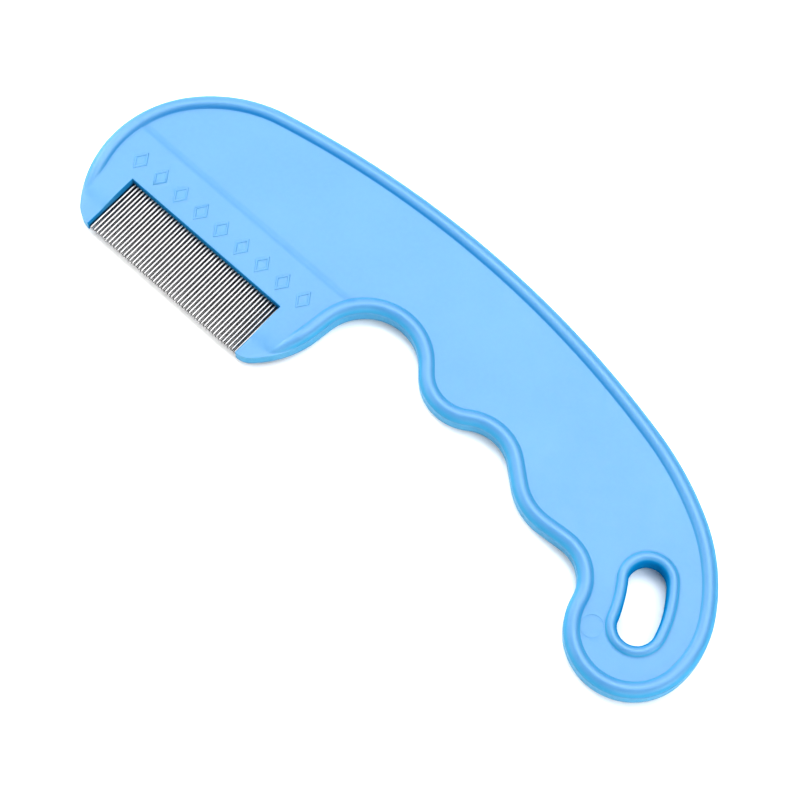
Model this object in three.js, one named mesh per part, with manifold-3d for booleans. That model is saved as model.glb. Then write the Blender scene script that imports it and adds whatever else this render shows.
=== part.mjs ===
// Flea comb: a moulded plastic handle with a notch in its head, and a row of round steel
// pins set in the notch as the teeth.
//
// Millimetres. The comb lies flat. +X runs along the row of teeth, from the nose of the head
// to the end with the hanging hole. The teeth point towards -Y, and +Z is the thickness.
// The shapes are drawn from the middle of the row of teeth, at mid thickness. The last lines
// move the whole comb so that its origin is under the middle of its box, on the table.
import * as THREE from "three";
import { mergeVertices } from "three/addons/utils/BufferGeometryUtils.js";
import Module from "manifold-3d";

const wasm = await Module();
wasm.setup();

// ---- driving dimensions ----

const toothCount = 49;
const toothPitch = 0.91;
const toothRadius = 0.36;
const toothTipY = -8.05; // the tips end level with the cheeks of the notch
const toothEmbedded = 6; // length held in the plastic
const toothSides = 10;
const socketClearance = 0.06; // round the side of a tooth
const socketEndGap = 0.3;

const notchHalfWidth = 22.4;
const notchRootY = 5.9;

// The web is the flat middle of the handle. The rim is the round bead along its edge.
const webHalf = 2.2; // half of the web's thickness
const rimWallHalf = 1.1; // the straight part of the rim's outer wall, above mid thickness
const rimHalf = 3; // half of the rim's thickness, which is the comb's
const rimRadius = 1.9; // in plan, from the edge to the rim's crown
const holeRimWallHalf = 1.6;
const holeRimHalf = 2.9;
const holeRimRadius = 1.3;
const beadFacets = 7; // an odd number leaves a flat facet along the crown

// The head starts at a shallow groove, the crease. Its face is level as far as the cheeks of
// the notch, which slope down to thin tips.
const creaseY = 17.1;
const creaseHalfWidth = 1.2;
const creaseDepth = 0.1;
const headHalf = 2.3; // half of the head's thickness at its face
const headEndX = 34; // the index finger's hollow starts here
const tipHalf = 0.25; // half of the thickness at the tooth tips
const tipSlope = 0.31; // how fast a cheek thickens away from its tip
const slopeBlend = 1.2; // the height over which the slope rounds into the level face

// The outline is a chain of arcs and straight runs, each tangent to the one before. It goes
// anticlockwise from the tip of the inner cheek, round the handle, to the tip of the nose.
// A radius is in millimetres and a turn in degrees; a turn to the right makes a hollow.
const outlineStart = { x: 22.3, y: -8.1, heading: -6 };
const outlineMoves = [
  { radius: 4.2, turn: 48.4 }, // heel of the inner cheek
  { radius: 22.5, turn: 40.4 }, // inner cheek
  { run: 3.5 },
  { radius: 11.6, turn: -131.4 }, // index finger
  { run: 2 },
  { radius: 11.8, turn: 84.2 },
  { radius: 9.8, turn: -75 }, // middle finger
  { run: 5 },
  { radius: 15.2, turn: 44.2 },
  { run: 5.5 },
  { radius: 8.6, turn: -82.8 }, // ring finger
  { radius: 14.4, turn: 161.8 }, // end lobe
  { radius: 24, turn: 35.6 },
  { radius: 42.5, turn: 30.6 },
  { radius: 76, turn: 16 },
  { radius: 238, turn: 26.8 }, // back
  { radius: 34.5, turn: 37.4 },
  { radius: 27, turn: 81.6 }, // nose
  { radius: 6, turn: 47.2 },
];
const stationTurn = 12; // the most that the outline turns between two stations, in degrees
const stationStep = 12; // and the furthest that it runs

// The hanging hole is a bean: two round ends, a bulging side and a hollow side.
const holeEnds = [
  { x: 121.3, y: 12.95 },
  { x: 125.9, y: 4 },
];
const holeEndRadius = 4.1;
const holeBulgeRadius = 27;
const holeHollowRadius = 30;

const plastic = new THREE.MeshStandardMaterial({ color: 0x7cc5fb, roughness: 0.4, metalness: 0 });
const steel = new THREE.MeshStandardMaterial({ color: 0xc4c6c8, roughness: 0.3, metalness: 1 });

// ---- solids ----

const degrees = THREE.MathUtils.degToRad;

// A three.js geometry as a solid that can be joined and cut.
function solid(geometry) {
  const bare = geometry.clone().deleteAttribute("normal").deleteAttribute("uv");
  const merged = mergeVertices(bare, 1e-4);
  return new wasm.Manifold(
    new wasm.Mesh({
      numProp: 3,
      vertProperties: new Float32Array(merged.attributes.position.array),
      triVerts: new Uint32Array(merged.index.array),
    }),
  );
}

function geometryOf(body) {
  const mesh = body.getMesh();
  return new THREE.BufferGeometry()
    .setAttribute("position", new THREE.BufferAttribute(mesh.vertProperties, 3))
    .setIndex(new THREE.BufferAttribute(mesh.triVerts, 1))
    .toNonIndexed();
}

function box(low, high) {
  const size = high.clone().sub(low);
  const middle = low.clone().add(high).divideScalar(2);
  return new THREE.BoxGeometry(size.x, size.y, size.z).translate(middle.x, middle.y, middle.z);
}

// A plan outline made into a plate of the given half thickness, with an optional hole.
function plate(outline, half, hole) {
  const shape = new THREE.Shape(outline);
  if (hole) shape.holes.push(new THREE.Path(hole));
  return new THREE.ExtrudeGeometry(shape, { depth: 2 * half, bevelEnabled: false }).translate(
    0,
    0,
    -half,
  );
}

// A skin through sections that all have the same number of points. An open one gets flat ends.
function loft(sections, closed) {
  const count = sections[0].length;
  const points = sections.flat();
  const index = [];
  const spans = closed ? sections.length : sections.length - 1;
  for (let i = 0; i < spans; i += 1) {
    const here = i * count;
    const next = ((i + 1) % sections.length) * count;
    for (let j = 0; j < count; j += 1) {
      const k = (j + 1) % count;
      index.push(here + j, next + j, here + k, here + k, next + j, next + k);
    }
  }
  if (!closed) {
    const last = (sections.length - 1) * count;
    for (let j = 1; j < count - 1; j += 1) {
      index.push(0, j, j + 1);
      index.push(last, last + j + 1, last + j);
    }
  }
  return new THREE.BufferGeometry().setFromPoints(points).setIndex(index);
}

// ---- plan outline ----

// Stations along a chain of moves, each with its place and the unit vector to its left.
function walk(start, moves) {
  let { x, y } = start;
  let heading = degrees(start.heading);
  const stations = [];
  const add = () =>
    stations.push({
      place: new THREE.Vector2(x, y),
      inward: new THREE.Vector2(-Math.sin(heading), Math.cos(heading)),
    });
  add();
  for (const move of moves) {
    const turn = degrees(move.turn ?? 0);
    const length = move.run ?? move.radius * Math.abs(turn);
    const steps = Math.ceil(
      Math.max(Math.abs(move.turn ?? 0) / stationTurn, length / stationStep),
    );
    // Each step is a chord, which leaves at half of the step's turn.
    const bend = turn / steps;
    const chord = move.run ? length / steps : 2 * move.radius * Math.sin(Math.abs(bend) / 2);
    for (let i = 0; i < steps; i += 1) {
      x += chord * Math.cos(heading + bend / 2);
      y += chord * Math.sin(heading + bend / 2);
      heading += bend;
      add();
    }
  }
  return stations;
}

// The bean, as stations whose inward vectors point into the plastic, away from the hole.
function bean() {
  const [first, second] = holeEnds.map((end) => new THREE.Vector2(end.x, end.y));
  const half = first.distanceTo(second) / 2;
  const along = second.clone().sub(first).normalize();
  const start = along.angle();
  // How far an end's arc leans past square to the line of centres, on each side.
  const bulgeLean = Math.asin(half / (holeBulgeRadius - holeEndRadius));
  const hollowLean = Math.asin(half / (holeHollowRadius + holeEndRadius));
  const stations = [];
  const arc = (centre, radius, from, to, side) => {
    const steps = Math.ceil(Math.abs(to - from) / degrees(stationTurn));
    for (let i = 0; i < steps; i += 1) {
      const out = new THREE.Vector2(1, 0).rotateAround(
        new THREE.Vector2(),
        from + ((to - from) * i) / steps,
      );
      stations.push({
        place: centre.clone().addScaledVector(out, radius),
        inward: out.multiplyScalar(side),
      });
    }
  };
  const square = new THREE.Vector2(-along.y, along.x); // towards the bulging side
  const middle = first.clone().add(second).divideScalar(2);
  const bulgeCentre = middle
    .clone()
    .addScaledVector(square, -(holeBulgeRadius - holeEndRadius) * Math.cos(bulgeLean));
  const hollowCentre = middle
    .clone()
    .addScaledVector(square, -(holeHollowRadius + holeEndRadius) * Math.cos(hollowLean));
  const quarter = Math.PI / 2;
  const sideOut = start + quarter;
  const sideIn = start - quarter;
  // Clockwise: the bulging side, the second end, the hollow side, the first end.
  arc(bulgeCentre, holeBulgeRadius, sideOut + bulgeLean, sideOut - bulgeLean, 1);
  arc(second, holeEndRadius, sideOut - bulgeLean, sideIn - hollowLean, 1);
  arc(hollowCentre, holeHollowRadius, sideOut - hollowLean, sideOut + hollowLean, -1);
  arc(first, holeEndRadius, sideIn + hollowLean, sideOut + bulgeLean - 4 * quarter, 1);
  return stations;
}

// ---- head ----

// The smaller of two heights, with the corner between them rounded.
function roundedMin(a, b) {
  const near = Math.max(slopeBlend - Math.abs(a - b), 0) / slopeBlend;
  return Math.min(a, b) - (near ** 2 * slopeBlend) / 4;
}

const cheekSlope = (y) => tipHalf + tipSlope * Math.max(y - toothTipY, 0);

// Half of the head's thickness at its face.
function faceHalf(y) {
  const fromCrease = Math.abs(y - creaseY) / creaseHalfWidth;
  const groove = fromCrease < 1 ? (creaseDepth * (1 + Math.cos(Math.PI * fromCrease))) / 2 : 0;
  const level = THREE.MathUtils.mapLinear(
    THREE.MathUtils.smoothstep(y, creaseY - creaseHalfWidth, creaseY + creaseHalfWidth),
    0,
    1,
    headHalf,
    webHalf,
  );
  return roundedMin(level, cheekSlope(y)) - groove;
}

// The rim is full size until the slope of the cheeks cuts it down.
const rimScale = ({ x, y }) =>
  x > headEndX ? 1 : roundedMin(rimHalf, cheekSlope(y)) / rimHalf;

// A bead's closed section at a station: a straight outer wall under a round crown, and the
// same below.
function beadSection(station, radius, wallHalf, half, scale) {
  const rise = (half - wallHalf) / Math.sin((Math.PI / 2) * (1 - 1 / beadFacets));
  const upper = [];
  for (let i = 0; i <= beadFacets; i += 1) {
    const angle = (Math.PI * i) / beadFacets;
    upper.push([radius * (1 - Math.cos(angle)), wallHalf + rise * Math.sin(angle)]);
  }
  const lower = upper.map(([depth, z]) => [depth, -z]).reverse();
  return [...upper, ...lower].map(([depth, z]) => {
    const plan = station.place.clone().addScaledVector(station.inward, depth * scale);
    return new THREE.Vector3(plan.x, plan.y, z * scale);
  });
}

// The side view of the head, from past the tips to past the crease, extruded along the row.
function headBlock(low, high) {
  const steps = 6;
  const margin = 2;
  const levelY = toothTipY + (headHalf + slopeBlend - tipHalf) / tipSlope;
  const upper = [new THREE.Vector2(toothTipY - margin, tipHalf)];
  const spans = [
    [toothTipY, levelY],
    [creaseY - creaseHalfWidth, creaseY + creaseHalfWidth],
  ];
  for (const [from, to] of spans) {
    for (let i = 0; i <= steps; i += 1) {
      const y = THREE.MathUtils.lerp(from, to, i / steps);
      upper.push(new THREE.Vector2(y, faceHalf(y)));
    }
  }
  upper.push(new THREE.Vector2(creaseY + margin, webHalf));
  const lower = upper.map((point) => new THREE.Vector2(point.x, -point.y)).reverse();
  const turned = new THREE.Matrix4().makeBasis(
    new THREE.Vector3(0, 1, 0),
    new THREE.Vector3(0, 0, 1),
    new THREE.Vector3(1, 0, 0),
  );
  return new THREE.ExtrudeGeometry(new THREE.Shape([...upper, ...lower]), {
    depth: high - low,
    bevelEnabled: false,
  })
    .applyMatrix4(turned)
    .translate(low, 0, 0);
}

// ---- the comb ----

const toothX = (number) => (number - (toothCount - 1) / 2) * toothPitch;

function handleGeometry() {
  const edge = walk(outlineStart, outlineMoves);
  const hole = bean();
  const tall = 2 * rimHalf;
  const farX = 200;

  const crownLine = edge.map((station) =>
    station.place
      .clone()
      .addScaledVector(station.inward, rimRadius * rimScale(station.place)),
  );
  const holeCrownLine = hole.map((station) =>
    station.place.clone().addScaledVector(station.inward, holeRimRadius),
  );

  const headZone = box(
    new THREE.Vector3(-farX, -farX, -tall),
    new THREE.Vector3(headEndX, creaseY + creaseHalfWidth, tall),
  );
  const web = solid(plate(crownLine, webHalf, holeCrownLine)).subtract(solid(headZone));
  const head = solid(plate(crownLine, tall)).intersect(solid(headBlock(-farX, headEndX)));
  const rim = solid(
    loft(
      edge.map((station) =>
        beadSection(station, rimRadius, rimWallHalf, rimHalf, rimScale(station.place)),
      ),
      false,
    ),
  );
  const holeRim = solid(
    loft(
      hole.map((station) =>
        beadSection(station, holeRimRadius, holeRimWallHalf, holeRimHalf, 1),
      ),
      true,
    ),
  );
  const notch = box(
    new THREE.Vector3(-notchHalfWidth, -farX, -tall),
    new THREE.Vector3(notchHalfWidth, notchRootY, tall),
  );

  let handle = web.add(head).add(rim).add(holeRim).subtract(solid(notch));
  const depth = toothEmbedded + socketEndGap;
  const socket = new THREE.CylinderGeometry(
    toothRadius + socketClearance,
    toothRadius + socketClearance,
    depth + 1,
    toothSides,
  );
  for (let i = 0; i < toothCount; i += 1) {
    const placed = socket.clone().translate(toothX(i), notchRootY + (depth - 1) / 2, 0);
    handle = handle.subtract(solid(placed));
  }
  return geometryOf(handle);
}

// A round pin along Y with a square root and a rounded tip.
function toothGeometry() {
  const r = toothRadius;
  const profile = [
    [0, toothTipY],
    [0.65 * r, toothTipY + 0.25 * r],
    [r, toothTipY + r],
    [r, notchRootY + toothEmbedded],
    [0, notchRootY + toothEmbedded],
  ];
  return new THREE.LatheGeometry(
    profile.map(([radius, y]) => new THREE.Vector2(radius, y)),
    toothSides,
  );
}

const comb = new THREE.Group();

const handle = new THREE.Mesh(handleGeometry(), plastic);
handle.name = "handle";
comb.add(handle);

const toothShape = toothGeometry();
for (let i = 0; i < toothCount; i += 1) {
  const tooth = new THREE.Mesh(toothShape, steel);
  tooth.name = `tooth_${String(i + 1).padStart(2, "0")}`;
  tooth.position.x = toothX(i);
  comb.add(tooth);
}

const bounds = new THREE.Box3().setFromObject(comb);
const middle = bounds.getCenter(new THREE.Vector3());
comb.position.set(-middle.x, -middle.y, -bounds.min.z);

export default comb;
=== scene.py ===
"""The looks of the flea comb: a smooth moulded handle and 49 round steel pins.

Shapes are drawn in millimetres in the comb's own plan, from the middle of the row of teeth at
mid thickness, with +X along the row and the teeth towards -Y. placed() moves them to the frame.
"""

import math

import bpy
import numpy as np
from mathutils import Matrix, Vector
from mathutils.geometry import delaunay_2d_cdt


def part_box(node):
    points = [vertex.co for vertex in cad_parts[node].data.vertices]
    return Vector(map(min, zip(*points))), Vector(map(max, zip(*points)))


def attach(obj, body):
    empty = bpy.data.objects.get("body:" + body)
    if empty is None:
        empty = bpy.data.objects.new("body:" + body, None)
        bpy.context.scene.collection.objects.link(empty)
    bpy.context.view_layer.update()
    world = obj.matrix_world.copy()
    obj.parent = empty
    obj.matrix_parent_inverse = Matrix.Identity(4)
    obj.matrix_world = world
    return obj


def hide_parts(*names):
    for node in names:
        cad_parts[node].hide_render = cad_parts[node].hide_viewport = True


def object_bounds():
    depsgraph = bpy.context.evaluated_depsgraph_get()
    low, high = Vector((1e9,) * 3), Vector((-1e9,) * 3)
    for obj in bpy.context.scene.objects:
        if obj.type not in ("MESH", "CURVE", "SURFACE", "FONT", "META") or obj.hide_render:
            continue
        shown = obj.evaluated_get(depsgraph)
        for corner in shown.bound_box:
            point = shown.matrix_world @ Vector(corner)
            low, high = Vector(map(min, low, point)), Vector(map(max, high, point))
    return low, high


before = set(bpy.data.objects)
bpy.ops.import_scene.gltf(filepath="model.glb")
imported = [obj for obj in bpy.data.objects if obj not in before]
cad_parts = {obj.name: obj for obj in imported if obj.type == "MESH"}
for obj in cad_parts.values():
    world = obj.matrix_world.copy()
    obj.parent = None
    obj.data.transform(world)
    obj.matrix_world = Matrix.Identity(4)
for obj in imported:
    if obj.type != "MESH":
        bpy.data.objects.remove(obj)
cad_low, cad_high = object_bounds()

MM = 0.001

# ---- dimensions, in millimetres and degrees ----

TOOTH_COUNT = 49
TOOTH_PITCH = 0.91
TOOTH_RADIUS = 0.36
TOOTH_TIP_Y = -8.05
TOOTH_EMBEDDED = 6.0
TIP_ROUNDING = 0.22
TOOTH_WANDER = 0.03  # how far a tip strays from its place in the row
TOOTH_SIDES = 20
BRIGHT_BAND_ANGLE = 57.0  # where round a tooth the band left clear of painted flank shade is centred, up from +X
BRIGHT_BAND_EDGE = (0.68, 0.93)  # cosines from that band's centre: full painted shade, and none

NOTCH_HALF = 22.4
NOTCH_ROOT_Y = 5.9
NOTCH_EDGE_RADIUS = 0.22

WEB_HALF = 2.2
RIM_RADIUS = 1.9
RIM_WALL_HALF = 1.1
RIM_HALF = 3.0
HOLE_RIM_RADIUS = 1.3
HOLE_RIM_WALL_HALF = 1.6
JUNCTION_BLEND = 0.06  # rounding where a bead meets the web

# A painted highlight and lower roughness along the crowns, and how wide they are on each.
CROWN_WIDTH = 0.6
HOLE_CROWN_WIDTH = 0.4
NOTCH_CROWN_WIDTH = 0.15

# Painted shade along the inner foot of the rim, all on the back's side, and a little in the
# crease.
SHADE_LINE_DEPTH = 3.2
SHADE_LINE_WIDTH = 0.35
SHADE_SIDE = np.array((0.677, -0.736))
CREASE_SHADE = 0.28

CREASE_Y = 17.1
CREASE_HALF_WIDTH = 1.2
CREASE_DEPTH = 0.1
HEAD_HALF = 2.3
HEAD_END_X = 34.0
HEAD_FADE = 5.0
TIP_HALF = 0.25
TIP_SLOPE = 0.31
SLOPE_BLEND = 1.2
CHEEK_LIGHT_Y = -1.5  # the middle of the stretch of the cheeks painted paler, as painted light
CHEEK_LIGHT_LENGTH = 2.5

OUTLINE_START = (22.3, -8.1, -6.0)  # x, y and heading
OUTLINE_MOVES = [
    {"radius": 4.2, "turn": 48.4},  # heel of the inner cheek
    {"radius": 22.5, "turn": 40.4},  # inner cheek
    {"run": 3.5},
    {"radius": 11.6, "turn": -131.4},  # index finger
    {"run": 2.0},
    {"radius": 11.8, "turn": 84.2},
    {"radius": 9.8, "turn": -75.0},  # middle finger
    {"run": 5.0},
    {"radius": 15.2, "turn": 44.2},
    {"run": 5.5},
    {"radius": 8.6, "turn": -82.8},  # ring finger
    {"radius": 14.4, "turn": 161.8},  # end lobe
    {"radius": 24.0, "turn": 35.6},
    {"radius": 42.5, "turn": 30.6},
    {"radius": 76.0, "turn": 16.0},
    {"radius": 238.0, "turn": 26.8},  # back
    {"radius": 34.5, "turn": 37.4},
    {"radius": 27.0, "turn": 81.6},  # nose
    {"radius": 6.0, "turn": 47.2},
]
OUTLINE_STEP = 0.7

HOLE_ENDS = ((121.3, 12.95), (125.9, 4.0))
HOLE_END_RADIUS = 4.1
HOLE_BULGE_RADIUS = 27.0
HOLE_HOLLOW_RADIUS = 30.0
HOLE_STEP = 0.45

# The mould's parting line, a fine ridge round the edge at mid thickness.
PARTING_HALF = 0.07
PARTING_HEIGHT = 0.004

# The round mark that an ejector pin left in the web.
EJECTOR_CENTRE = (119.0, -2.2)
EJECTOR_RADIUS = 2.5
EJECTOR_DEPTH = 0.02
EJECTOR_LIP = 0.05

# A row of raised diamonds on the head.
DIAMOND_COUNT = 9
DIAMOND_PITCH = 6.15
DIAMOND_MIDDLE_X = 0.4
DIAMOND_Y = 10.4
DIAMOND_HALF_WIDTH = 1.5
DIAMOND_HALF_HEIGHT = 2.1
DIAMOND_LINE_HALF = 0.16
DIAMOND_BEVEL = 0.1
DIAMOND_RELIEF = 0.12

# Points over the flat faces, and how far from each edge they start.
GRID_STEP = 1.5
CREASE_GRID_STEP = 0.5
RIM_RING = 4.1
HOLE_RING = 3.0
RIM_CLEARANCE = (4.3, 0.3)  # for each part of the rim's full size, and added to that
HOLE_CLEARANCE = 3.3
NOTCH_CLEARANCE = 0.6

CAMERA_AZIMUTH = 42.63
CAMERA_ELEVATION = 69.5
CAMERA_DISTANCE = 0.56
CAMERA_AIM = Vector((0.00222, -0.00934, 0.0))  # from the middle of the comb's box
CAMERA_LENS = 117.68
CAMERA_SENSOR = 36

FLOOR_HALF = 0.7  # in metres
FLOOR_GAP = 0.02  # under the comb

# Linear base colours.
BLUE = (0.076, 0.218, 0.386, 1)
BLUE_CLOUD = (0.084, 0.23, 0.398, 1)
BLUE_MOTTLE = (0.098, 0.25, 0.415, 1)
# Painted shade: steep faces a deeper, more saturated blue.
BLUE_STEEP_SHADE = (0.048, 0.28, 0.455, 1)
# Painted shade: the steep walls of the notch and the hole nearly black-blue.
BLUE_WALL_SHADE = (0.004, 0.2, 0.4, 1)
# Painted shade: the line at the rim's foot and in the crease.
BLUE_SHADE_LINES = (0.004, 0.155, 0.37, 1)
# Painted highlight: paler along the crowns and the notch's edge.
BLUE_CROWN_HIGHLIGHT = (0.12, 0.27, 0.44, 1)
# Painted light: the cheeks paler where they slope down to their tips.
BLUE_CHEEK_LIGHT = (0.17, 0.35, 0.5, 1)
STEEL = (0.4, 0.4, 0.404, 1)
STEEL_LINE = (0.52, 0.52, 0.52, 1)
STEEL_PATCH = (0.36, 0.36, 0.364, 1)
# Painted shade: the teeth's flanks near black.
STEEL_FLANK_SHADE = (0.035, 0.035, 0.037, 1)
FLOOR_WHITE = (0.9, 0.9, 0.9, 1)

VIEW_GAMMA = 0.75
SOFT_BOX_DISTANCE = 0.9
# Name, degrees round from the camera, elevation, width in metres, watts.
SOFT_BOXES = [
    ("key", 180, 65, 0.5, 3.9),
    ("top", 95, 72, 0.6, 4.8),
    ("back_left_low", 225, 25, 0.5, 5.2),
    ("back_left", 225, 50, 0.5, 2.4),
    ("back_low", 180, 25, 0.5, 2.4),
    ("back_right", 135, 50, 0.5, 2.1),
    ("left", 270, 30, 0.5, 3.6),
    ("right", 90, 50, 0.5, 1.2),
    ("front_right_low", 45, 25, 0.5, 5.2),
    ("front_low", 0, 25, 0.5, 3.8),
]


# ---- camera, floor and light ----


def direction(azimuth, elevation):
    """The unit vector towards a viewer there: azimuth 0 looks along +Y, and 90 along -X."""
    a, e = math.radians(azimuth), math.radians(elevation)
    return Vector((math.sin(a) * math.cos(e), -math.cos(a) * math.cos(e), math.sin(e)))


def camera():
    data = bpy.data.cameras.new("camera")
    data.lens = CAMERA_LENS
    data.sensor_width = CAMERA_SENSOR
    data.clip_start, data.clip_end = 0.01, 20
    made = bpy.data.objects.new("camera", data)
    bpy.context.collection.objects.link(made)
    aim = (cad_low + cad_high) / 2 + CAMERA_AIM
    back = direction(CAMERA_AZIMUTH, CAMERA_ELEVATION)
    made.location = aim + back * CAMERA_DISTANCE
    made.rotation_mode = "QUATERNION"
    made.rotation_quaternion = (-back).to_track_quat("-Z", "Y")
    bpy.context.scene.camera = made


def soft_box(name, azimuth, elevation, width, watts):
    data = bpy.data.lights.new(name, "AREA")
    data.shape = "SQUARE"
    data.size = width
    data.energy = watts
    made = bpy.data.objects.new(name, data)
    bpy.context.collection.objects.link(made)
    back = direction(azimuth, elevation)
    made.location = back * SOFT_BOX_DISTANCE
    made.rotation_mode = "QUATERNION"
    made.rotation_quaternion = (-back).to_track_quat("-Z", "Y")


def studio():
    """Soft boxes all round, and a white backdrop that only the camera sees."""
    scene = bpy.context.scene
    scene.view_settings.view_transform = "Standard"
    scene.view_settings.gamma = VIEW_GAMMA
    for name, side, elevation, width, watts in SOFT_BOXES:
        soft_box(name, CAMERA_AZIMUTH + side, elevation, width, watts)
    world = bpy.data.worlds.new("studio")
    world.use_nodes = True
    backdrop = world.node_tree.nodes["Background"]
    backdrop.inputs["Color"].default_value = (1, 1, 1, 1)
    backdrop.inputs["Strength"].default_value = 1.0
    for ray in ("diffuse", "glossy", "transmission", "scatter"):
        setattr(world.cycles_visibility, ray, False)
    scene.world = world


def floor():
    half = FLOOR_HALF
    mesh = bpy.data.meshes.new("floor")
    corners = [(-half, -half), (half, -half), (half, half), (-half, half)]
    level = cad_low.z - FLOOR_GAP * MM
    mesh.from_pydata([(x, y, level) for x, y in corners], [], [(0, 1, 2, 3)])
    made = bpy.data.objects.new("floor", mesh)
    bpy.context.collection.objects.link(made)
    material = bpy.data.materials.new("pale_floor")
    material.use_nodes = True
    shader = material.node_tree.nodes["Principled BSDF"]
    shader.inputs["Base Color"].default_value = FLOOR_WHITE
    shader.inputs["Roughness"].default_value = 0.9
    shader.inputs["Specular IOR Level"].default_value = 0.1
    mesh.materials.append(material)


# ---- materials ----


class Nodes:
    """A material's node tree, with short calls to add and join nodes."""

    def __init__(self, name):
        self.material = bpy.data.materials.new(name)
        self.material.use_nodes = True
        self.tree = self.material.node_tree
        self.shader = self.tree.nodes["Principled BSDF"]
        self.place = self.tree.nodes.new("ShaderNodeTexCoord").outputs["Object"]

    def add(self, kind, **inputs):
        node = self.tree.nodes.new(kind)
        for name, value in inputs.items():
            self.feed(node.inputs[name.replace("_", " ")], value)
        return node

    def feed(self, socket, value):
        if isinstance(value, bpy.types.NodeSocket):
            self.tree.links.new(value, socket)
        else:
            socket.default_value = value

    def noise(self, scale, detail=2.0, roughness=0.5, stretch=None):
        """Noise from 0 to 1 with so many features to the metre."""
        place = self.place
        if stretch:
            place = self.add("ShaderNodeMapping", Vector=place, Scale=stretch).outputs["Vector"]
        node = self.add(
            "ShaderNodeTexNoise", Vector=place, Scale=scale, Detail=detail, Roughness=roughness
        )
        return node.outputs["Fac"]

    def spread(self, value, low, high, to_low, to_high):
        """The value's range low to high, taken to another range."""
        node = self.add("ShaderNodeMapRange", Value=value)
        node.inputs["From Min"].default_value = low
        node.inputs["From Max"].default_value = high
        node.inputs["To Min"].default_value = to_low
        node.inputs["To Max"].default_value = to_high
        return node.outputs["Result"]

    def mix(self, share, first, second):
        node = self.tree.nodes.new("ShaderNodeMix")
        node.data_type = "RGBA"
        self.feed(node.inputs[0], share)
        self.feed(node.inputs[6], first)
        self.feed(node.inputs[7], second)
        return node.outputs[2]

    def math(self, operation, first, second):
        node = self.tree.nodes.new("ShaderNodeMath")
        node.operation = operation
        self.feed(node.inputs[0], first)
        self.feed(node.inputs[1], second)
        return node.outputs[0]

    def painted(self, name):
        node = self.tree.nodes.new("ShaderNodeAttribute")
        node.attribute_name = name
        return node.outputs["Fac"]

    def bump(self, height, strength, distance, under=None):
        node = self.add("ShaderNodeBump", Height=height, Strength=strength, Distance=distance)
        if under:
            self.feed(node.inputs["Normal"], under)
        return node.outputs["Normal"]


def plastic():
    """Satin sky-blue polypropylene: faint flow clouds, fine mould grain, smoother crowns.

    The painted values mark steep faces and the walls of the notch and the hole (painted shade
    there, and less specular), a line at the rim's foot and in the crease (painted shade), crowns
    (painted highlight) and cheeks (painted light).
    """
    n = Nodes("sky_blue_plastic")
    clouds = n.spread(n.noise(55, 3), 0.3, 0.7, 0, 1)
    mottle = n.spread(n.noise(900, 4), 0.35, 0.65, 0, 1)
    steep, wall, shade_lines = n.painted("steep"), n.painted("wall"), n.painted("shade_lines")
    crown, cheek = n.painted("crown"), n.painted("cheek")
    colour = n.mix(clouds, BLUE, BLUE_CLOUD)
    colour = n.mix(n.math("MULTIPLY", mottle, 0.25), colour, BLUE_MOTTLE)
    # Painted shade on steep faces.
    colour = n.mix(steep, colour, BLUE_STEEP_SHADE)
    # Painted shade on the walls of the notch and the hole.
    colour = n.mix(wall, colour, BLUE_WALL_SHADE)
    # Painted shade at the rim's foot on the back's side and in the crease.
    colour = n.mix(n.math("MULTIPLY", shade_lines, 0.8), colour, BLUE_SHADE_LINES)
    # Painted highlight along the crowns.
    colour = n.mix(n.math("MULTIPLY", crown, 0.15), colour, BLUE_CROWN_HIGHLIGHT)
    # Painted light on the cheeks.
    colour = n.mix(n.math("MULTIPLY", cheek, 0.2), colour, BLUE_CHEEK_LIGHT)
    n.feed(n.shader.inputs["Base Color"], colour)

    scuffs = n.spread(n.noise(700, 5, 0.6, (1, 6, 1)), 0.56, 0.72, 0, 0.1)
    rough = n.spread(mottle, 0, 1, 0.36, 0.44)
    rough = n.math("ADD", rough, scuffs)
    rough = n.math("SUBTRACT", rough, n.math("MULTIPLY", crown, 0.06))
    n.feed(n.shader.inputs["Roughness"], rough)

    waves = n.bump(n.noise(70, 2), 0.35, 0.04 * MM)
    grain = n.bump(n.noise(7000, 3), 0.12, 0.01 * MM, waves)
    n.feed(n.shader.inputs["Normal"], grain)

    shine = n.spread(n.math("ADD", steep, wall), 0, 2, 0.55, 0)
    n.feed(n.shader.inputs["Specular IOR Level"], shine)
    n.shader.inputs["IOR"].default_value = 1.5
    n.shader.inputs["Subsurface Weight"].default_value = 0.12
    n.shader.inputs["Subsurface Radius"].default_value = (0.3, 0.7, 1.0)
    n.shader.inputs["Subsurface Scale"].default_value = 1.2 * MM
    return n.material


def steel():
    """Drawn stainless wire: fine lines along its length, and its flanks painted near black as
    painted shade beside a bright band.
    """
    n = Nodes("drawn_steel")
    lines = n.noise(9000, 4, 0.6, (1, 0.03, 1))
    patches = n.noise(400, 3)
    colour = n.mix(n.spread(lines, 0.3, 0.7, 0, 1), STEEL, STEEL_LINE)
    colour = n.mix(n.spread(patches, 0.45, 0.75, 0, 0.3), colour, STEEL_PATCH)
    # Painted shade: the flanks darkened to near black.
    colour = n.mix(n.painted("flank_shade"), colour, STEEL_FLANK_SHADE)
    n.feed(n.shader.inputs["Base Color"], colour)
    n.feed(n.shader.inputs["Roughness"], n.spread(lines, 0.3, 0.7, 0.42, 0.54))
    n.feed(n.shader.inputs["Normal"], n.bump(lines, 0.2, 0.01 * MM))
    n.shader.inputs["Metallic"].default_value = 1.0
    return n.material


# ---- plan lines ----


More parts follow.
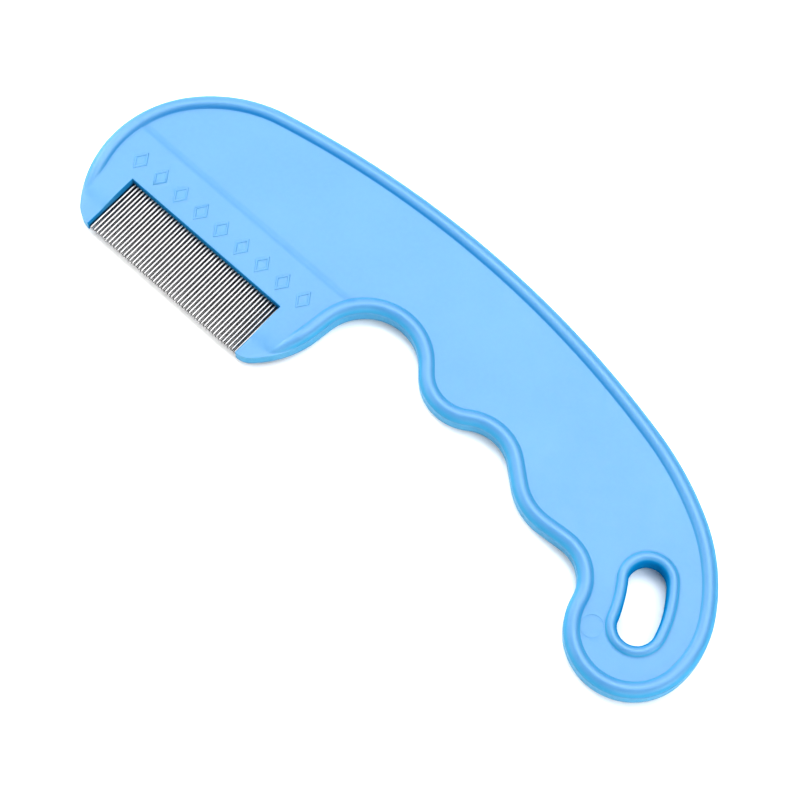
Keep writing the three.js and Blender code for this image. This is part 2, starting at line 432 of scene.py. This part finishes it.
def walk(start, moves, step):
    """Points along a chain of tangent arcs and runs, and the unit vector to the left of each."""
    x, y, heading = start[0], start[1], math.radians(start[2])
    places, inwards = [(x, y)], [(-math.sin(heading), math.cos(heading))]
    for move in moves:
        turn = math.radians(move.get("turn", 0.0))
        length = move["run"] if "run" in move else move["radius"] * abs(turn)
        steps = math.ceil(length / step)
        bend = turn / steps
        chord = length / steps
        if bend:
            chord = 2 * move["radius"] * math.sin(abs(bend) / 2)
        for _ in range(steps):
            x += chord * math.cos(heading + bend / 2)
            y += chord * math.sin(heading + bend / 2)
            heading += bend
            places.append((x, y))
            inwards.append((-math.sin(heading), math.cos(heading)))
    return np.array(places), np.array(inwards)


def bean(step):
    """The hanging hole's edge, clockwise, and the unit vector away from the hole at each point."""
    first, second = (np.array(end) for end in HOLE_ENDS)
    half = np.linalg.norm(second - first) / 2
    along = (second - first) / (2 * half)
    square = np.array((-along[1], along[0]))  # towards the bulging side
    start = math.atan2(along[1], along[0])
    bulge = HOLE_BULGE_RADIUS - HOLE_END_RADIUS
    hollow = HOLE_HOLLOW_RADIUS + HOLE_END_RADIUS
    lean_out, lean_in = math.asin(half / bulge), math.asin(half / hollow)
    middle = (first + second) / 2
    side_out, side_in = start + math.pi / 2, start - math.pi / 2
    arcs = [
        (middle - square * bulge * math.cos(lean_out), HOLE_BULGE_RADIUS,
         side_out + lean_out, side_out - lean_out, 1),
        (second, HOLE_END_RADIUS, side_out - lean_out, side_in - lean_in, 1),
        (middle - square * hollow * math.cos(lean_in), HOLE_HOLLOW_RADIUS,
         side_out - lean_in, side_out + lean_in, -1),
        (first, HOLE_END_RADIUS, side_in + lean_in, side_out + lean_out - 2 * math.pi, 1),
    ]  # fmt: skip
    places, inwards = [], []
    for centre, radius, begin, end, side in arcs:
        steps = math.ceil(abs(end - begin) * radius / step)
        for i in range(steps):
            angle = begin + (end - begin) * i / steps
            out = np.array((math.cos(angle), math.sin(angle)))
            places.append(centre + out * radius)
            inwards.append(out * side)
    return np.array(places), np.array(inwards)


def nearest(points, line, closed):
    """For each point, its distance to a line, and where that is: the index along the line."""
    if closed:
        line = np.vstack([line, line[:1]])
    begin, span = line[:-1], line[1:] - line[:-1]
    length2 = (span**2).sum(1)
    best, where = np.full(len(points), np.inf), np.zeros(len(points))
    for chunk in range(0, len(points), 2000):
        p = points[chunk : chunk + 2000, None, :] - begin[None]
        t = np.clip((p * span).sum(2) / length2, 0, 1)
        gap = ((p - t[..., None] * span) ** 2).sum(2)
        index = gap.argmin(1)
        rows = np.arange(len(index))
        best[chunk : chunk + 2000] = np.sqrt(gap[rows, index])
        where[chunk : chunk + 2000] = index + t[rows, index]
    return best, where


def smoothstep(value, low, high):
    t = np.clip((value - low) / (high - low), 0, 1)
    return t * t * (3 - 2 * t)


# ---- the handle's surface ----


def rounded_min(a, b, blend):
    """The smaller of two heights, with the corner between them rounded."""
    near = np.maximum(blend - np.abs(a - b), 0) / blend
    return np.minimum(a, b) - near**2 * blend / 4


def cheek_slope(y):
    return TIP_HALF + TIP_SLOPE * np.maximum(y - TOOTH_TIP_Y, 0)


def face_half(y):
    """Half of the head's thickness at its face: level, with a groove at the crease."""
    from_crease = np.minimum(np.abs(y - CREASE_Y) / CREASE_HALF_WIDTH, 1)
    groove = CREASE_DEPTH * (1 + np.cos(math.pi * from_crease)) / 2
    past = smoothstep(y, CREASE_Y - CREASE_HALF_WIDTH, CREASE_Y + CREASE_HALF_WIDTH)
    level = HEAD_HALF + (WEB_HALF - HEAD_HALF) * past
    return rounded_min(level, cheek_slope(y), SLOPE_BLEND) - groove


def rim_scale(places):
    """The rim is full size until the slope of the cheeks cuts it down."""
    scale = rounded_min(RIM_HALF, cheek_slope(places[:, 1]), SLOPE_BLEND) / RIM_HALF
    return np.where(places[:, 0] > HEAD_END_X, 1.0, scale)


def rounded_max(a, b, blend):
    """The larger of two heights, with the corner between them filled."""
    blend = np.maximum(blend, 1e-6)
    h = np.maximum(blend - np.abs(a - b), 0) / blend
    return np.maximum(a, b) + h * h * blend / 4


def with_bead(ground, depth, radius, wall_half, scale, blend):
    """A round bead along an edge, standing on the ground behind it."""
    reach = radius * scale
    t = np.clip(depth / reach, 0, 2)
    arc = np.sqrt(np.maximum(1 - (1 - t) ** 2, 0))
    bead = scale * wall_half + reach * arc
    crown = scale * wall_half + reach
    spare = np.maximum(rounded_max(ground, crown, blend) - crown, 0)
    return np.where(depth < reach, bead + spare * arc, rounded_max(ground, bead, blend))


def rim_fade(scale):
    """1 where the rim stands above the face beside it, going to 0 where it merges with it."""
    return smoothstep(scale * RIM_HALF, HEAD_HALF, RIM_HALF - 0.1)


class Surface:
    """The height of the handle's upper face over its plan, and of its lower face below it."""

    def __init__(self):
        self.edge, self.edge_in = walk(OUTLINE_START, OUTLINE_MOVES, OUTLINE_STEP)
        self.hole, self.hole_in = bean(HOLE_STEP)
        self.scale = rim_scale(self.edge)

    def measure(self, points):
        """The distances that the height depends on."""
        depth, where = nearest(points, self.edge, False)
        index = np.arange(len(self.edge))
        dx = np.maximum(np.abs(points[:, 0]) - NOTCH_HALF, 0)
        dy = np.maximum(points[:, 1] - NOTCH_ROOT_Y, 0)
        inward = [np.interp(where, index, self.edge_in[:, axis]) for axis in (0, 1)]
        return {
            "depth": depth,
            "inward": np.column_stack(inward),
            "scale": np.interp(where, index, self.scale),
            "hole": nearest(points, self.hole, True)[0],
            "notch": np.hypot(dx, dy),
        }

    def height(self, points, upper):
        m = self.measure(points)
        head = 1 - smoothstep(points[:, 0], HEAD_END_X, HEAD_END_X + HEAD_FADE)
        ground = WEB_HALF + (face_half(points[:, 1]) - WEB_HALF) * head
        if upper:
            ground = ground + diamonds(points) + ejector_mark(points)
        blend = JUNCTION_BLEND * rim_fade(m["scale"])
        high = with_bead(ground, m["depth"], RIM_RADIUS, RIM_WALL_HALF, m["scale"], blend)
        high = with_bead(
            high, m["hole"], HOLE_RIM_RADIUS, HOLE_RIM_WALL_HALF, 1.0, JUNCTION_BLEND
        )
        radius = np.minimum(NOTCH_EDGE_RADIUS, 0.4 * high)
        short = np.maximum(radius - m["notch"], 0)
        return high - radius + np.sqrt(np.maximum(radius**2 - short**2, 0))


def diamond_centres():
    first = DIAMOND_MIDDLE_X - DIAMOND_PITCH * (DIAMOND_COUNT - 1) / 2
    return [(first + DIAMOND_PITCH * i, DIAMOND_Y) for i in range(DIAMOND_COUNT)]


def diamond_reach():
    """How much a diamond grows, as a share of its size, for each millimetre outwards."""
    return math.hypot(1 / DIAMOND_HALF_WIDTH, 1 / DIAMOND_HALF_HEIGHT)


def diamonds(points):
    """The relief of the row of diamonds: each is a raised line round an empty middle."""
    relief = np.zeros(len(points))
    for x, y in diamond_centres():
        size = (
            np.abs(points[:, 0] - x) / DIAMOND_HALF_WIDTH
            + np.abs(points[:, 1] - y) / DIAMOND_HALF_HEIGHT
        )
        away = np.abs(size - 1) / diamond_reach()
        line = 1 - smoothstep(away, DIAMOND_LINE_HALF, DIAMOND_LINE_HALF + DIAMOND_BEVEL)
        relief = np.maximum(relief, DIAMOND_RELIEF * line)
    return relief


def ejector_mark(points):
    away = np.hypot(points[:, 0] - EJECTOR_CENTRE[0], points[:, 1] - EJECTOR_CENTRE[1])
    inside = 1 - smoothstep(away, EJECTOR_RADIUS - EJECTOR_LIP, EJECTOR_RADIUS)
    lip = np.exp(-(((away - EJECTOR_RADIUS) / EJECTOR_LIP) ** 2))
    return EJECTOR_DEPTH * (lip - inside)


# ---- the handle's mesh ----


class Drawing:
    """Points and lines in plan that the triangles have to follow."""

    def __init__(self):
        self.points, self.lines = [], []

    def line(self, places, closed=False):
        first = len(self.points)
        self.points += [tuple(p) for p in places]
        count = len(places)
        self.lines += [(first + i, first + i + 1) for i in range(count - 1)]
        if closed:
            self.lines.append((first + count - 1, first))

    def dots(self, places):
        self.points += [tuple(p) for p in places]

    def triangles(self):
        flat, _, faces, *_ = delaunay_2d_cdt(
            [Vector(p) for p in self.points], self.lines, [], 1, 1e-4
        )
        return np.array([tuple(p) for p in flat]), np.array(faces)


def outside_notch(line):
    """The stretch of a line round the handle from one wall of the notch to the other."""
    first = int(np.argmax(line[:, 0] > NOTCH_HALF))
    last = len(line) - 1 - int(np.argmax(line[::-1, 0] < -NOTCH_HALF))

    def at(i, x):
        share = (x - line[i, 0]) / (line[i + 1, 0] - line[i, 0])
        return line[i] + share * (line[i + 1] - line[i])

    start, end = at(first - 1, NOTCH_HALF), at(last, -NOTCH_HALF)
    return np.vstack([start, line[first : last + 1], end])


def bead_depths(radius):
    """Distances from the edge at which a bead is drawn, close together at its junction."""
    angles = list(range(0, 108, 12)) + list(range(108, 162, 6))
    return [radius * (1 - math.cos(math.radians(a))) for a in angles]


def notch_line(away, end_y):
    """A line round the notch at some distance in the plastic, with round corners."""
    x, y = NOTCH_HALF, NOTCH_ROOT_Y
    side = [(x + away, v) for v in np.arange(end_y, y, 0.5)]
    corner = [
        (x + away * math.cos(a), y + away * math.sin(a))
        for a in np.linspace(0, math.pi / 2, 4 if away else 1)
    ]
    root = [(v, y + away) for v in np.linspace(x, -x, 2 * TOOTH_COUNT)][1:-1]
    right = side + corner
    return right + root + [(-px, py) for px, py in reversed(right)]


def circle(centre, radius, count=40):
    angles = np.linspace(0, 2 * math.pi, count, endpoint=False)
    return [(centre[0] + radius * math.cos(a), centre[1] + radius * math.sin(a)) for a in angles]


def plan(surface):
    """The triangles of the handle in plan."""
    drawing = Drawing()
    depths = bead_depths(RIM_RADIUS) + [RIM_RING]
    rings = [
        outside_notch(surface.edge + surface.edge_in * (depth * surface.scale)[:, None])
        for depth in depths
    ]
    for ring in rings:
        drawing.line(ring)
    wall = notch_line(0.0, rings[0][0][1])
    wall[0], wall[-1] = rings[0][0], rings[0][-1]
    drawing.line(wall)
    low = rings[0][:, 1].min()
    for share in (0.3, 0.65, 1.0):
        drawing.line(notch_line(share * NOTCH_EDGE_RADIUS, low - 1))
    for depth in bead_depths(HOLE_RIM_RADIUS) + [HOLE_RING]:
        drawing.line(surface.hole + surface.hole_in * depth, closed=True)
    line_edges = (DIAMOND_LINE_HALF, DIAMOND_LINE_HALF + 0.5 * DIAMOND_BEVEL,
                  DIAMOND_LINE_HALF + DIAMOND_BEVEL)  # fmt: skip
    for x, y in diamond_centres():
        for away in [side * edge for side in (-1, 1) for edge in line_edges]:
            grow = 1 + away * diamond_reach()
            corners = [(grow, 0), (0, grow), (-grow, 0), (0, -grow)]
            drawing.line(
                [(x + a * DIAMOND_HALF_WIDTH, y + b * DIAMOND_HALF_HEIGHT) for a, b in corners],
                closed=True,
            )
    for away in (-2, -1, -0.5, 0, 0.5, 1, 2):
        drawing.line(circle(EJECTOR_CENTRE, EJECTOR_RADIUS + away * EJECTOR_LIP), closed=True)
    drawing.dots(inner_grid(surface))

    points, faces = drawing.triangles()
    middles = points[faces].mean(1)
    return points, faces[~inside_loop(middles, surface.hole)]


def inner_grid(surface):
    """Points over the flat of the web and the face of the head, clear of every edge."""
    low, high = surface.edge.min(0), surface.edge.max(0)
    xs = np.arange(low[0], high[0], GRID_STEP)
    ys = np.arange(low[1], high[1], GRID_STEP * math.sqrt(3) / 2)
    grid = np.array([(x + GRID_STEP / 2 * (j % 2), y) for j, y in enumerate(ys) for x in xs])
    crease_xs = np.arange(low[0], HEAD_END_X + HEAD_FADE, CREASE_GRID_STEP)
    crease = np.array([(x, CREASE_Y) for x in crease_xs])
    grid = grid[np.abs(grid[:, 1] - CREASE_Y) > CREASE_HALF_WIDTH + 0.2]
    rows = np.linspace(-CREASE_HALF_WIDTH, CREASE_HALF_WIDTH, 9)
    grid = np.vstack([grid] + [crease + (0, away) for away in rows])
    grid = grid[inside_loop(grid, surface.edge)]
    m = surface.measure(grid)
    clear = m["depth"] > RIM_CLEARANCE[0] * m["scale"] + RIM_CLEARANCE[1]
    clear &= (m["hole"] > HOLE_CLEARANCE) & (m["notch"] > NOTCH_CLEARANCE)
    return grid[clear]


def inside_loop(points, loop):
    """Whether each point is inside of a closed line."""
    inside = np.zeros(len(points), bool)
    x, y = points[:, 0], points[:, 1]
    for (ax, ay), (bx, by) in zip(loop, np.roll(loop, -1, 0)):
        if ay != by:
            crosses = (ay > y) != (by > y)
            inside ^= crosses & (x < ax + (y - ay) * (bx - ax) / (by - ay))
    return inside


def loops_of(faces):
    """The edges that only one triangle uses, as loops of points."""
    used = {}
    for a, b, c in faces:
        for pair in ((a, b), (b, c), (c, a)):
            used[pair] = True
    follow = {a: b for a, b in used if (b, a) not in used}
    loops = []
    while follow:
        start, here = next(iter(follow.items()))
        loop = [start]
        del follow[start]
        while here != start:
            loop.append(here)
            here = follow.pop(here)
        loops.append(loop)
    return loops


def handle_mesh():
    surface = Surface()
    flat, faces = plan(surface)
    keep = np.unique(faces)
    renumber = np.full(len(flat), -1)
    renumber[keep] = np.arange(len(keep))
    flat, faces = flat[keep], renumber[faces]
    count = len(flat)
    top, bottom = surface.height(flat, True), surface.height(flat, False)
    points = [*np.column_stack([flat, top]), *np.column_stack([flat, -bottom])]
    polygons = [tuple(f) for f in faces] + [tuple(f[::-1] + count) for f in faces]

    at_notch = surface.measure(flat)["notch"] < 1e-3
    levels = (1.5, 1, 0.5, 0, -0.5, -1, -1.5)  # the wall's rows, in parting line widths
    for loop in loops_of(faces):
        place = flat[loop]
        ahead, behind = np.roll(place, -1, 0) - place, place - np.roll(place, 1, 0)
        along = ahead / np.linalg.norm(ahead, axis=1)[:, None]
        along += behind / np.linalg.norm(behind, axis=1)[:, None]
        outward = np.column_stack([along[:, 1], -along[:, 0]])
        outward /= np.linalg.norm(outward, axis=1)[:, None] + 1e-9
        rows = [np.array(loop)]
        for level in levels:
            push = np.where(at_notch[loop], 0, PARTING_HEIGHT * max(1 - abs(level), 0))
            height = level * np.minimum(PARTING_HALF, 0.4 * top[loop])
            rows.append(len(points) + np.arange(len(loop)))
            points += [*np.column_stack([place + outward * push[:, None], height])]
        rows.append(np.array(loop) + count)
        for upper, lower in zip(rows, rows[1:]):
            for i in range(len(loop)):
                j = (i + 1) % len(loop)
                polygons.append((upper[j], upper[i], lower[i], lower[j]))
    return np.array(points), polygons, surface


def placed(points):
    """Millimetres in the drawing to metres in the frame."""
    low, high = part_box(f"tooth_{(TOOTH_COUNT + 1) // 2:02d}")
    origin = np.array(
        [(low.x + high.x) / 2, low.y - TOOTH_TIP_Y * MM, (low.z + high.z) / 2]
    )
    return np.asarray(points) * MM + origin


def piece(name, points, polygons, material, nodes):
    mesh = bpy.data.meshes.new(name)
    mesh.from_pydata(placed(points).tolist(), [], polygons)
    mesh.validate()
    mesh.shade_smooth()
    mesh.materials.append(material)
    made = bpy.data.objects.new(name, mesh)
    bpy.context.collection.objects.link(made)
    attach(made, "root")
    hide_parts(*nodes)
    return made


def paint(mesh, name, values):
    attribute = mesh.attributes.new(name, "FLOAT", "POINT")
    attribute.data.foreach_set("value", np.asarray(values, np.float32))


def crowns(m):
    """1 along the crowns of the rim and of the hole's rim, and along the edge of the notch."""
    reach = RIM_RADIUS * m["scale"]
    rim = np.exp(-(((m["depth"] - reach) / (CROWN_WIDTH * m["scale"])) ** 2))
    hole = np.exp(-(((m["hole"] - HOLE_RIM_RADIUS) / HOLE_CROWN_WIDTH) ** 2))
    notch = np.exp(-((m["notch"] / NOTCH_CROWN_WIDTH) ** 2))
    return np.maximum(np.maximum(rim, hole), notch)


def inner_walls(m):
    """Where the walls' painted shade goes: 1 at the walls of the notch and the hole; the caller
    keeps only steep faces.
    """
    return np.maximum(smoothstep(-m["notch"], -0.3, -0.1), smoothstep(-m["hole"], -1.2, -0.2))


# Where the painted shade line goes: along the rim's inner foot, only on the back's side, and a
# little along the crease.
def painted_shade_lines(points, m):
    foot = np.exp(-(((m["depth"] / m["scale"] - SHADE_LINE_DEPTH) / SHADE_LINE_WIDTH) ** 2))
    away = np.clip(m["inward"] @ SHADE_SIDE, 0, 1)
    from_crease = np.abs(points[:, 1] - CREASE_Y) / CREASE_HALF_WIDTH
    on_head = (points[:, 0] < HEAD_END_X) & (m["depth"] > RIM_RADIUS)
    in_crease = CREASE_SHADE * on_head * (1 - smoothstep(from_crease, 0.2, 1))
    return np.maximum(foot * away * rim_fade(m["scale"]), in_crease)


# Painted light: a paler stretch of the cheeks where they start to slope down to their tips.
def painted_cheek_light(points):
    lightened = np.exp(-(((points[:, 1] - CHEEK_LIGHT_Y) / CHEEK_LIGHT_LENGTH) ** 2))
    return lightened * (points[:, 0] < HEAD_END_X)


def handle():
    points, polygons, surface = handle_mesh()
    polygons = [tuple(int(i) for i in p) for p in polygons]
    made = piece("moulded_handle", points, polygons, plastic(), ["handle"])
    made.data.set_sharp_from_angle(angle=math.radians(50))
    m = surface.measure(points[:, :2])
    facing = np.array([tuple(v.normal) for v in made.data.vertices])
    steep = smoothstep(1 - np.abs(facing[:, 2]), 0.02, 0.45)
    # Painted light and shade: a highlight along the crowns, shade on steep faces, on the walls and
    # along the rim's foot and the crease, and lighter cheeks.
    paint(made.data, "crown", crowns(m))
    paint(made.data, "steep", steep)
    paint(made.data, "wall", steep * inner_walls(m))
    paint(made.data, "shade_lines", painted_shade_lines(points, m))
    paint(made.data, "cheek", painted_cheek_light(points))


# ---- the teeth ----


def tooth_profile():
    """Radius and place along a tooth, from its tip to its root."""
    tip = [
        (
            TOOTH_RADIUS - TIP_ROUNDING * (1 - math.sin(a)),
            TOOTH_TIP_Y + TIP_ROUNDING * (1 - math.cos(a)),
        )
        for a in np.radians((0, 18, 36, 54, 72, 90))
    ]
    root_y = NOTCH_ROOT_Y + TOOTH_EMBEDDED
    shaft = [(TOOTH_RADIUS, y) for y in np.linspace(TOOTH_TIP_Y + 1, root_y, 12)]
    return tip + shaft


def tooth(number, material, chance):
    sides = TOOTH_SIDES
    middle = (number - (TOOTH_COUNT + 1) / 2) * TOOTH_PITCH
    sway, lift, reach = chance.uniform(-TOOTH_WANDER, TOOTH_WANDER, 3)
    points = []
    for radius, y in tooth_profile():
        out = np.clip((NOTCH_ROOT_Y - y) / (NOTCH_ROOT_Y - TOOTH_TIP_Y), 0, 1)
        for k in range(sides):
            angle = 2 * math.pi * k / sides
            x, z = radius * math.cos(angle), radius * math.sin(angle)
            points.append((middle + x + sway * out, y + reach * out, z + lift * out))
    rings = len(points) // sides
    polygons = [tuple(range(sides)), tuple(reversed(range((rings - 1) * sides, rings * sides)))]
    for i in range(rings - 1):
        for k in range(sides):
            a, b = i * sides + k, i * sides + (k + 1) % sides
            polygons.append((b, a, a + sides, b + sides))
    name = f"tooth_{number:02d}"
    made = piece(f"pin_{number:02d}", points, polygons, material, [name])
    made.data.set_sharp_from_angle(angle=math.radians(60))
    # Painted shade on the flanks, all round but a band at the given angle.
    band_centre = math.radians(BRIGHT_BAND_ANGLE)
    toward = np.array([math.cos(2 * math.pi * k / sides - band_centre) for k in range(sides)] * rings)
    paint(made.data, "flank_shade", 1 - smoothstep(toward, *BRIGHT_BAND_EDGE))


def teeth():
    material = steel()
    chance = np.random.RandomState(5)
    for number in range(1, TOOTH_COUNT + 1):
        tooth(number, material, chance)


camera()
studio()
floor()
handle()
teeth()
